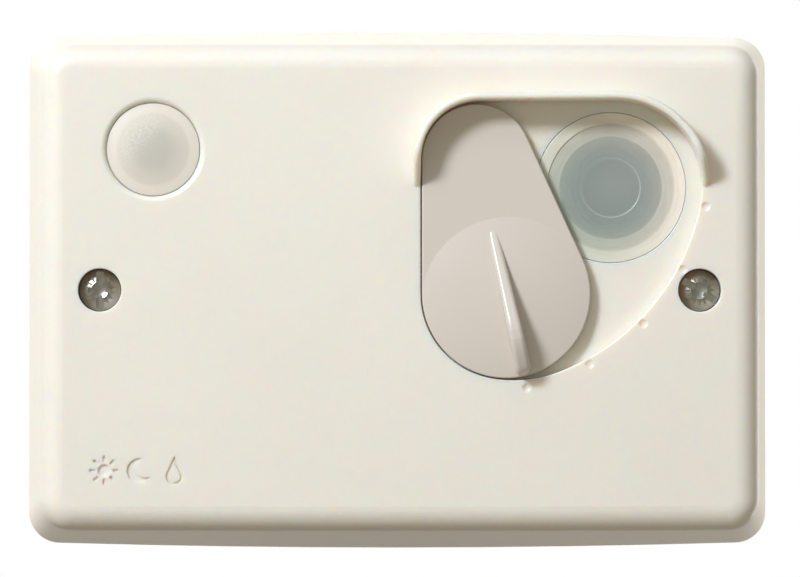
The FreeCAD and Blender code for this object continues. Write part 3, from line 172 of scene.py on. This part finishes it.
def moulded(name, light, dark, roughness, grain_mm, depth_mm, ior=1.54):
    """Moulded plastic: its colour drifts between two tones where the melt flowed, over about
    22 mm, and its skin has the mould's grain, of this size and depth."""
    material, tree, shader = start_material(name)
    place = node(tree, "ShaderNodeTexCoord").outputs["Object"]
    flow = node(tree, "ShaderNodeTexNoise", {"Vector": place, "Scale": per_metre(22.0),
                                             "Detail": 3.0, "Distortion": 0.6})
    tone = node(tree, "ShaderNodeMix", {0: flow.outputs[0], 6: linear(light), 7: linear(dark)},
                data_type="RGBA")
    grain = node(tree, "ShaderNodeTexNoise", {"Vector": place, "Scale": per_metre(grain_mm),
                                              "Detail": 2.0})
    skin = node(tree, "ShaderNodeBump", {"Height": grain.outputs[0],
                                         "Distance": depth_mm / 1000.0})
    spread = 0.05
    gloss = node(tree, "ShaderNodeMapRange", {"Value": grain.outputs[0],
                                              "To Min": roughness - spread,
                                              "To Max": roughness + spread})
    tree.links.new(tone.outputs[2], shader.inputs["Base Color"])
    tree.links.new(skin.outputs[0], shader.inputs["Normal"])
    tree.links.new(gloss.outputs[0], shader.inputs["Roughness"])
    shader.inputs["IOR"].default_value = ior
    return material


grained_abs = moulded("grained_ivory_abs", "#e9e4d6", "#e4dece", 0.42, 0.35, 0.012)
dress(["base"], grained_abs)


# Grommets, gasket and O-ring: black rubber, moulded matt. They keep the water out at the cable
# entries, in the joint of the housing and round the shutter's shaft.
black_rubber = moulded("moulded_black_rubber", "#232321", "#1a1a19", 0.62, 0.18, 0.010, ior=1.52)
dress(["cable_grommets", "cover_gasket", "shutter_o_ring"], black_rubber)


# Seals under the cover's screws: brown gum rubber, punched from sheet. They close the wells, so
# the narrow gaps round the screws' heads look brown.
gum_rubber = moulded("punched_gum_rubber", "#7d5a38", "#6c4c2e", 0.60, 0.30, 0.012, ior=1.52)
dress(["cover_screw_seals"], gum_rubber)


# Gaskets behind the two lenses: milky silicone rubber, cut from sheet and held under the lenses'
# flanges. They keep the narrow gaps round the lenses pale.
silicone = moulded("milky_silicone_rubber", "#e2dccd", "#d9d2c1", 0.50, 0.30, 0.008, ior=1.41)
dress(["sensor_lens_gasket", "indicator_lens_gasket"], silicone)


# Circuit board: glass cloth in epoxy under a green solder mask, sawn to size. The weave of the
# cloth, about two threads to the millimetre, shows through the mask as a fine check.
def wave_scale(size_in_mm):
    """A wave texture's scale for stripes this far apart: at scale 1 a metre has 20 / tau."""
    return per_metre(size_in_mm) * math.tau / 20


laminate, tree, shader = start_material("green_glass_laminate")
place = node(tree, "ShaderNodeTexCoord").outputs["Object"]
threads = [node(tree, "ShaderNodeTexWave", {"Vector": place, "Scale": wave_scale(0.5),
                                            "Distortion": 0.4, "Detail": 1.0},
                bands_direction=direction).outputs["Fac"] for direction in ("X", "Z")]
weave = node(tree, "ShaderNodeMath", {0: threads[0], 1: threads[1]}, operation="MULTIPLY")
mask = node(tree, "ShaderNodeMix", {0: weave.outputs[0], 6: linear("#14582e"),
                                    7: linear("#1f7440")}, data_type="RGBA")
cloth = node(tree, "ShaderNodeBump", {"Height": weave.outputs[0], "Distance": 0.00001})
tree.links.new(mask.outputs[2], shader.inputs["Base Color"])
tree.links.new(cloth.outputs[0], shader.inputs["Normal"])
shader.inputs["Roughness"].default_value = 0.28
shader.inputs["IOR"].default_value = 1.5
dress(["circuit_board"], laminate)


# Small black mouldings on the board: the sensor's shroud and the LED's spacer in polyamide, the
# relay's base, the comparator's and the transistor's bodies in epoxy, and the fuse's cap.
black_plastic = moulded("moulded_black_plastic", "#26262a", "#1b1b1e", 0.50, 0.25, 0.008)
dress(["sensor_shroud", "led_spacer", "relay_base", "comparator_chip", "driver_transistor",
       "fuse"], black_plastic)


# Terminal block and relay bobbin: glass-filled polyamide, grey for the block and white for the
# bobbin. The glass leaves a dull, slightly mottled skin.
grey_polyamide = moulded("grey_polyamide", "#7b7f82", "#6b6f72", 0.55, 0.40, 0.015)
dress(["terminal_block"], grey_polyamide)
white_polyamide = moulded("white_polyamide", "#e6e6e0", "#dadad2", 0.50, 0.40, 0.010)
dress(["relay_bobbin"], white_polyamide)


# Relay case and varistor: the case is a clear blue-tinted moulding and the varistor is a zinc
# oxide disc that was dipped in blue epoxy, which leaves it slightly lumpy.
relay_blue = moulded("blue_relay_plastic", "#2c55a4", "#244a92", 0.30, 0.50, 0.004)
dress(["relay_case"], relay_blue)
dipped_epoxy = moulded("dipped_blue_epoxy", "#1f4fb0", "#1a4297", 0.35, 1.2, 0.060)
dress(["varistor"], dipped_epoxy)


# Brass clamps, contacts and pins: stamped or turned from drawn brass, slightly tarnished. The
# drawing left fine bright streaks along them.
def drawn_metal(name, colour, roughness, streak_mm, depth_mm):
    """Metal that was drawn or rolled: fine streaks along x, in its gloss and in its skin."""
    material, tree, shader = start_material(name)
    place = node(tree, "ShaderNodeTexCoord").outputs["Object"]
    along = node(tree, "ShaderNodeVectorMath", {0: place, 1: (0.08, 1.0, 1.0)},
                 operation="MULTIPLY")
    streaks = node(tree, "ShaderNodeTexNoise", {"Vector": along.outputs[0],
                                                "Scale": per_metre(streak_mm), "Detail": 4.0})
    skin = node(tree, "ShaderNodeBump", {"Height": streaks.outputs[0],
                                         "Distance": depth_mm / 1000.0})
    spread = 0.08
    gloss = node(tree, "ShaderNodeMapRange", {"Value": streaks.outputs[0],
                                              "To Min": roughness - spread,
                                              "To Max": roughness + spread})
    tree.links.new(skin.outputs[0], shader.inputs["Normal"])
    tree.links.new(gloss.outputs[0], shader.inputs["Roughness"])
    shader.inputs["Base Color"].default_value = linear(colour)
    shader.inputs["Metallic"].default_value = 1.0
    return material


brass = drawn_metal("stamped_brass", "#c9a24e", 0.30, 0.10, 0.004)
dress(["terminal_clamps", "relay_fixed_contact", "relay_moving_contact", "relay_coil_pins"], brass)


# Yoke and armature: soft iron, stamped and lightly zinc plated, with a dull rolled surface. The
# armature rocks on the yoke's edge and carries the moving contact.
iron = drawn_metal("zinc_plated_iron", "#8f8e8a", 0.42, 0.20, 0.006)
dress(["relay_yoke", "relay_armature"], iron)


# Coil winding: enamelled copper wire of 0.12 mm, wound in close turns round the bobbin. The turns
# are drawn 0.3 mm apart, as fine as they can still show, with painted shade darkening the grooves
# between them.
copper_wire, tree, shader = start_material("enamelled_copper_wire")
place = node(tree, "ShaderNodeTexCoord").outputs["Object"]
turns = node(tree, "ShaderNodeTexWave", {"Vector": place, "Scale": wave_scale(0.3)},
             bands_direction="X")
wires = node(tree, "ShaderNodeBump", {"Height": turns.outputs["Fac"], "Distance": 0.00008})
# Painted shade: the colour is darker in the grooves between the turns.
copper_with_painted_groove_shade = node(tree, "ShaderNodeMix", {0: turns.outputs["Fac"], 6: linear("#8f3f18"),
                                      7: linear("#c8692f")}, data_type="RGBA")
tree.links.new(copper_with_painted_groove_shade.outputs[2], shader.inputs["Base Color"])
tree.links.new(wires.outputs[0], shader.inputs["Normal"])
shader.inputs["Metallic"].default_value = 0.85
shader.inputs["Roughness"].default_value = 0.32
dress(["relay_winding"], copper_wire)


# Film capacitor: wound plastic film in a moulded yellow box that is filled with resin. The box's
# skin has a fine satin grain.
film_box = moulded("yellow_film_box", "#d9b22c", "#cda424", 0.38, 0.40, 0.010)
dress(["film_capacitor"], film_box)


# Electrolytic capacitors: aluminium cans in a shrunk sleeve of dark blue film, which leaves the
# can's bare top showing inside a narrow rolled edge.
def shader_of(material):
    """The shader of a finished material, to change it further."""
    return material.node_tree.nodes["Principled BSDF"]


def band(tree, value, low, high, edge):
    """1 between two places and 0 outside them, with soft edges of this width."""
    rise = node(tree, "ShaderNodeMapRange", {"Value": value, "From Min": low - edge,
                                             "From Max": low + edge})
    fall = node(tree, "ShaderNodeMapRange", {"Value": value, "From Min": high - edge,
                                             "From Max": high + edge, "To Min": 1.0,
                                             "To Max": 0.0})
    return node(tree, "ShaderNodeMath", {0: rise.outputs[0], 1: fall.outputs[0]},
                operation="MULTIPLY").outputs[0]


def depth_from_wall(tree):
    """How far a point is in front of the wall, in metres."""
    place = node(tree, "ShaderNodeTexCoord").outputs["Object"]
    parts = node(tree, "ShaderNodeSeparateXYZ", {"Vector": place})
    return node(tree, "ShaderNodeMath", {0: parts.outputs["Y"], 1: -1.0},
                operation="MULTIPLY").outputs[0]


for name, top_rim in (("smoothing_capacitor", 0.0006), ("delay_capacitor", 0.0005)):
    sleeve = moulded("shrunk_pvc_film_" + name, "#20294d", "#182041", 0.32, 0.60, 0.006)
    tree, shader = sleeve.node_tree, shader_of(sleeve)
    can_top = -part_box(name)[0][1]
    bare = band(tree, depth_from_wall(tree), can_top - top_rim, can_top + 0.001, 0.0001)
    blue = shader.inputs["Base Color"].links[0].from_socket
    coat = node(tree, "ShaderNodeMix", {0: bare, 6: blue, 7: linear("#b9bbbd")}, data_type="RGBA")
    tree.links.new(coat.outputs[2], shader.inputs["Base Color"])
    tree.links.new(bare, shader.inputs["Metallic"])
    dress([name], sleeve)


# Resistors: beige lacquer over a ceramic body, with four colour rings for the value, and tinned
# leads. Each ring is about 0.9 mm wide.
resistor_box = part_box("dropper_resistors")
resistor_middle = (resistor_box[0][0] + resistor_box[1][0]) / 2
RING_HALF_WIDTH = 0.00045
RESISTOR_HALF_LENGTH = 0.0055
lacquer = moulded("lacquered_ceramic", "#cbb690", "#bfa984", 0.45, 0.50, 0.012)
tree, shader = lacquer.node_tree, shader_of(lacquer)
place = node(tree, "ShaderNodeTexCoord").outputs["Object"]
across = node(tree, "ShaderNodeSeparateXYZ", {"Vector": place}).outputs["X"]
tone = shader.inputs["Base Color"].links[0].from_socket
for offset, colour in ((-0.0034, "#3a2418"), (-0.0017, "#20201f"), (0.0, "#b8481f"),
                       (0.0032, "#b08f38")):
    ring = band(tree, across, resistor_middle + offset - RING_HALF_WIDTH,
                resistor_middle + offset + RING_HALF_WIDTH, 0.00005)
    tone = node(tree, "ShaderNodeMix", {0: ring, 6: tone, 7: linear(colour)},
                data_type="RGBA").outputs[2]
body = band(tree, across, resistor_middle - RESISTOR_HALF_LENGTH,
            resistor_middle + RESISTOR_HALF_LENGTH, 0.00002)
tinned = node(tree, "ShaderNodeMath", {0: 1.0, 1: body}, operation="SUBTRACT").outputs[0]
tone = node(tree, "ShaderNodeMix", {0: tinned, 6: tone, 7: linear("#a9a9a6")},
            data_type="RGBA").outputs[2]
tree.links.new(tone, shader.inputs["Base Color"])
tree.links.new(tinned, shader.inputs["Metallic"])
dress(["dropper_resistors"], lacquer)


# Diodes: black epoxy, moulded round the chips, with a silver ring printed at the cathode, and
# tinned leads that are bent down into the board.
diode_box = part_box("rectifier_diodes")
diode_middle = (diode_box[0][2] + diode_box[1][2]) / 2
DIODE_HALF_LENGTH = 0.0026
epoxy = moulded("black_epoxy_with_a_ring", "#222224", "#18181a", 0.42, 0.30, 0.010)
tree, shader = epoxy.node_tree, shader_of(epoxy)
place = node(tree, "ShaderNodeTexCoord").outputs["Object"]
height = node(tree, "ShaderNodeSeparateXYZ", {"Vector": place}).outputs["Z"]
tone = shader.inputs["Base Color"].links[0].from_socket
ring = band(tree, height, diode_middle + 0.0012, diode_middle + 0.0020, 0.00004)
body = band(tree, height, diode_middle - DIODE_HALF_LENGTH, diode_middle + DIODE_HALF_LENGTH,
            0.00002)
tinned = node(tree, "ShaderNodeMath", {0: 1.0, 1: body}, operation="SUBTRACT").outputs[0]
tone = node(tree, "ShaderNodeMix", {0: ring, 6: tone, 7: linear("#c4c4c0")},
            data_type="RGBA").outputs[2]
tone = node(tree, "ShaderNodeMix", {0: tinned, 6: tone, 7: linear("#a9a9a6")},
            data_type="RGBA").outputs[2]
tree.links.new(tone, shader.inputs["Base Color"])
tree.links.new(tinned, shader.inputs["Metallic"])
dress(["rectifier_diodes"], epoxy)


# Photocell: a ceramic disc whose face carries a winding track of orange cadmium sulphide under
# clear lacquer. The track's bends are 0.7 mm apart.
cell, tree, shader = start_material("lacquered_photocell")
place = node(tree, "ShaderNodeTexCoord").outputs["Object"]
track = node(tree, "ShaderNodeTexWave", {"Vector": place, "Scale": wave_scale(0.7),
                                         "Distortion": 1.5, "Detail": 0.0}, bands_direction="X")
stripes = node(tree, "ShaderNodeMapRange", {"Value": track.outputs["Fac"], "From Min": 0.45,
                                            "From Max": 0.55})
coat = node(tree, "ShaderNodeMix", {0: stripes.outputs[0], 6: linear("#b65a1e"),
                                    7: linear("#d8cdb4")}, data_type="RGBA")
tree.links.new(coat.outputs[2], shader.inputs["Base Color"])
shader.inputs["Roughness"].default_value = 0.25
shader.inputs["Coat Weight"].default_value = 0.6
dress(["photocell"], cell)


# Indicator LED: clear red epoxy, cast round its leads in a polished mould, so it is glossy and
# lets light through.
red_epoxy = moulded("cast_red_epoxy", "#c8201a", "#b01814", 0.15, 1.0, 0.002)
shader_of(red_epoxy).inputs["Transmission Weight"].default_value = 0.5
dress(["indicator_led"], red_epoxy)


# Front cover: one injection moulding in ivory ABS, 2.2 mm thick, with drafted sides and a fairly
# polished skin. It drops over the base's lip and two screws hold it. Light sinks a little way
# into it, which makes the thin hood and the shaded recess look warm.
ivory_abs = moulded("moulded_ivory_abs", "#f1ebdd", "#eee7d8", 0.32, 0.45, 0.004)
shader = shader_of(ivory_abs)
shader.inputs["Subsurface Weight"].default_value = 0.8
shader.inputs["Subsurface Radius"].default_value = (1.0, 0.62, 0.34)
shader.inputs["Subsurface Scale"].default_value = 0.0018
dress(["front_cover"], ivory_abs)


# Shutter: a moulding in greige ABS with a finer, duller skin than the cover's. Its shaft turns in
# the cover's boss, sprung by a washer and held by a clip.
greige_abs = moulded("moulded_greige_abs", "#d5cbbc", "#d1c7b8", 0.30, 0.30, 0.004)
dress(["shutter"], greige_abs)


# Screws, clip and washer: nickel-plated steel, cold formed in a die. The nickel is smooth, so the
# key light spreads to a soft glare on it, and slightly tarnished in patches of about 1 mm.
nickel = drawn_metal("nickel_plated_steel", "#aaa89e", 0.33, 0.25, 0.002)
tree = nickel.node_tree
place = node(tree, "ShaderNodeTexCoord").outputs["Object"]
patches = node(tree, "ShaderNodeTexNoise", {"Vector": place, "Scale": per_metre(1.0),
                                            "Detail": 3.0})
plating = node(tree, "ShaderNodeMix", {0: patches.outputs[0], 6: linear("#b8b6ac"),
                                       7: linear("#99968c")}, data_type="RGBA")
tree.links.new(plating.outputs[2], shader_of(nickel).inputs["Base Color"])
dress(["cover_screws", "board_screws", "terminal_screws", "shutter_clip",
       "shutter_spring_washer"], nickel)


# Sensor lens: milky polycarbonate. Its window lies over the black shroud, and a fine step goes
# round in it. Its colour by radius is painted light and shade: blue-grey painted shade over the
# shroud, a painted bright ring at the step, and paler out to the flange. The melt left short
# streaks round the middle.
def about_axis(tree, name):
    """Where a point lies from a lens's axis: the vector, its length in mm and its angle."""
    low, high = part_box(name)
    middle = ((low[0] + high[0]) / 2, 0.0, (low[2] + high[2]) / 2)
    place = node(tree, "ShaderNodeTexCoord").outputs["Object"]
    away = node(tree, "ShaderNodeVectorMath", {0: place, 1: middle}, operation="SUBTRACT")
    flat = node(tree, "ShaderNodeVectorMath", {0: away.outputs[0], 1: (1000.0, 0.0, 1000.0)},
                operation="MULTIPLY").outputs[0]
    radius = node(tree, "ShaderNodeVectorMath", {0: flat}, operation="LENGTH").outputs["Value"]
    parts = node(tree, "ShaderNodeSeparateXYZ", {"Vector": flat})
    angle = node(tree, "ShaderNodeMath", {0: parts.outputs["Z"], 1: parts.outputs["X"]},
                 operation="ARCTAN2").outputs[0]
    return flat, radius, angle


def zones(tree, radius, stops):
    """Colour by the distance from an axis: (mm, colour) from the middle out."""
    reach = stops[-1][0]
    share = node(tree, "ShaderNodeMath", {0: radius, 1: 1 / reach}, operation="MULTIPLY")
    colours = node(tree, "ShaderNodeValToRGB", {"Fac": share.outputs[0]})
    steps = colours.color_ramp.elements
    while len(steps) < len(stops):
        steps.new(0.5)
    for step, (place, colour) in zip(steps, stops):
        step.position = place / reach
        step.color = linear(colour)
    return colours.outputs[0]


milky, tree, shader = start_material("milky_polycarbonate_window")
flat, radius, angle = about_axis(tree, "sensor_lens")
# Painted light and shade by radius: darker over the shroud, a painted bright ring at the step,
# paler on the flange.
tone = zones(tree, radius, [
    (0.0, "#9b9e97"), (4.3, "#959992"), (4.62, "#9a9e98"), (4.68, "#aeb3ac"), (4.80, "#aaaea8"),
    (4.92, "#999d97"), (6.0, "#9ba098"), (7.2, "#a5a79d"), (8.1, "#acada2"), (8.3, "#c8c6b8"),
    (8.7, "#c9c5b6"), (9.9, "#d1c9b8"), (10.15, "#dbd2c1"), (10.4, "#ece2d0"), (12.0, "#f3ead8")])
# Painted light: the window is painted paler to the upper right and cooler to the lower left, as
# light from the key falls through it.
along = node(tree, "ShaderNodeVectorMath", {0: flat, 1: (0.09, 0.0, 0.05)},
             operation="DOT_PRODUCT").outputs["Value"]
clear = node(tree, "ShaderNodeMapRange", {"Value": along, "From Min": -0.8, "From Max": 0.8})
painted_light_tint = node(tree, "ShaderNodeMix", {0: clear.outputs[0], 6: linear("#e3eeea"),
                                    7: linear("#ffffff")}, data_type="RGBA")
streak_place = node(tree, "ShaderNodeCombineXYZ", {"X": angle, "Y": radius})
streaks = node(tree, "ShaderNodeTexNoise", {"Vector": streak_place.outputs[0], "Scale": 2.2,
                                            "Detail": 5.0, "Roughness": 0.7, "Distortion": 0.5})
veil = node(tree, "ShaderNodeMapRange", {"Value": streaks.outputs[0], "From Min": 0.3,
                                         "From Max": 0.7, "To Min": 0.94, "To Max": 1.06})
outside = node(tree, "ShaderNodeMapRange", {"Value": radius, "From Min": 4.7, "From Max": 5.2})
veil = node(tree, "ShaderNodeMix", {0: outside.outputs[0], 2: 1.0, 3: veil.outputs[0]})
milk = node(tree, "ShaderNodeVectorMath", {0: tone, 1: painted_light_tint.outputs[2]}, operation="MULTIPLY")
milk = node(tree, "ShaderNodeVectorMath", {0: milk.outputs[0], 1: veil.outputs[0]},
            operation="MULTIPLY")
step = node(tree, "ShaderNodeMapRange", {"Value": radius, "From Min": 4.66, "From Max": 4.80})
height = node(tree, "ShaderNodeMath", {0: streaks.outputs[0], 1: 0.12, 2: step.outputs[0]},
              operation="MULTIPLY_ADD")
skin = node(tree, "ShaderNodeBump", {"Height": height.outputs[0], "Distance": 0.00005})
tree.links.new(milk.outputs[0], shader.inputs["Base Color"])
tree.links.new(skin.outputs[0], shader.inputs["Normal"])
shader.inputs["Roughness"].default_value = 0.30
shader.inputs["IOR"].default_value = 1.58
dress(["sensor_lens"], milky)


# Indicator lens: the same milky polycarbonate with a frosted face, etched in the mould to grains
# of about 0.3 mm. Its grains are painted whiter towards the upper left, as painted sparkle where
# the key light catches them. Light spreads in it, so its rim stays pale even in the shade; its
# colour by radius is also painted paler at the rim and greyer in the middle, as painted shade of
# the dark housing behind it.
frosted, tree, shader = start_material("frosted_milky_polycarbonate")
flat, radius, _ = about_axis(tree, "indicator_lens")
# Painted shade by radius: greyer in the middle over the dark housing, paler at the rim.
tone = zones(tree, radius, [
    (0.0, "#cbc6b8"), (2.6, "#cfc9bb"), (4.2, "#dad3c2"), (5.5, "#dfd7c5"), (6.0, "#ece2cf"),
    (7.4, "#f1e6d2")])
place = node(tree, "ShaderNodeTexCoord").outputs["Object"]
etching = node(tree, "ShaderNodeTexNoise", {"Vector": place, "Scale": per_metre(0.3),
                                            "Detail": 1.0})
# Painted sparkle: grains are mixed whiter towards the upper left, where the key light falls.
to_upper_left = node(tree, "ShaderNodeVectorMath", {0: flat, 1: (-0.75, 0.0, 0.65)},
                     operation="DOT_PRODUCT").outputs["Value"]
painted_sparkle_side = node(tree, "ShaderNodeMapRange", {"Value": to_upper_left, "From Min": 0.3,
                                           "From Max": 3.0}, interpolation_type="SMOOTHSTEP")
grains = node(tree, "ShaderNodeMapRange", {"Value": etching.outputs[0], "From Min": 0.48,
                                           "From Max": 0.62, "To Min": 0.05, "To Max": 0.45})
inside = node(tree, "ShaderNodeMapRange", {"Value": radius, "From Min": 5.0, "From Max": 5.8,
                                           "To Min": 1.0, "To Max": 0.0})
white = node(tree, "ShaderNodeMath", {0: painted_sparkle_side.outputs[0], 1: grains.outputs[0]},
             operation="MULTIPLY")
white = node(tree, "ShaderNodeMath", {0: white.outputs[0], 1: inside.outputs[0]},
             operation="MULTIPLY")
tone = node(tree, "ShaderNodeMix", {0: white.outputs[0], 6: tone, 7: linear("#f3ecdd")},
            data_type="RGBA").outputs[2]
skin = node(tree, "ShaderNodeBump", {"Height": etching.outputs[0], "Distance": 0.00001})
frost = node(tree, "ShaderNodeBump", {"Height": etching.outputs[0], "Distance": 0.00012})
tree.links.new(tone, shader.inputs["Base Color"])
tree.links.new(skin.outputs[0], shader.inputs["Normal"])
tree.links.new(frost.outputs[0], shader.inputs["Coat Normal"])
shader.inputs["Roughness"].default_value = 0.40
shader.inputs["IOR"].default_value = 1.58
shader.inputs["Coat Weight"].default_value = 0.8
shader.inputs["Coat Roughness"].default_value = 0.12
shader.inputs["Subsurface Weight"].default_value = 0.7
shader.inputs["Subsurface Radius"].default_value = (1.0, 0.9, 0.8)
shader.inputs["Subsurface Scale"].default_value = 0.0025
dress(["indicator_lens"], frosted)
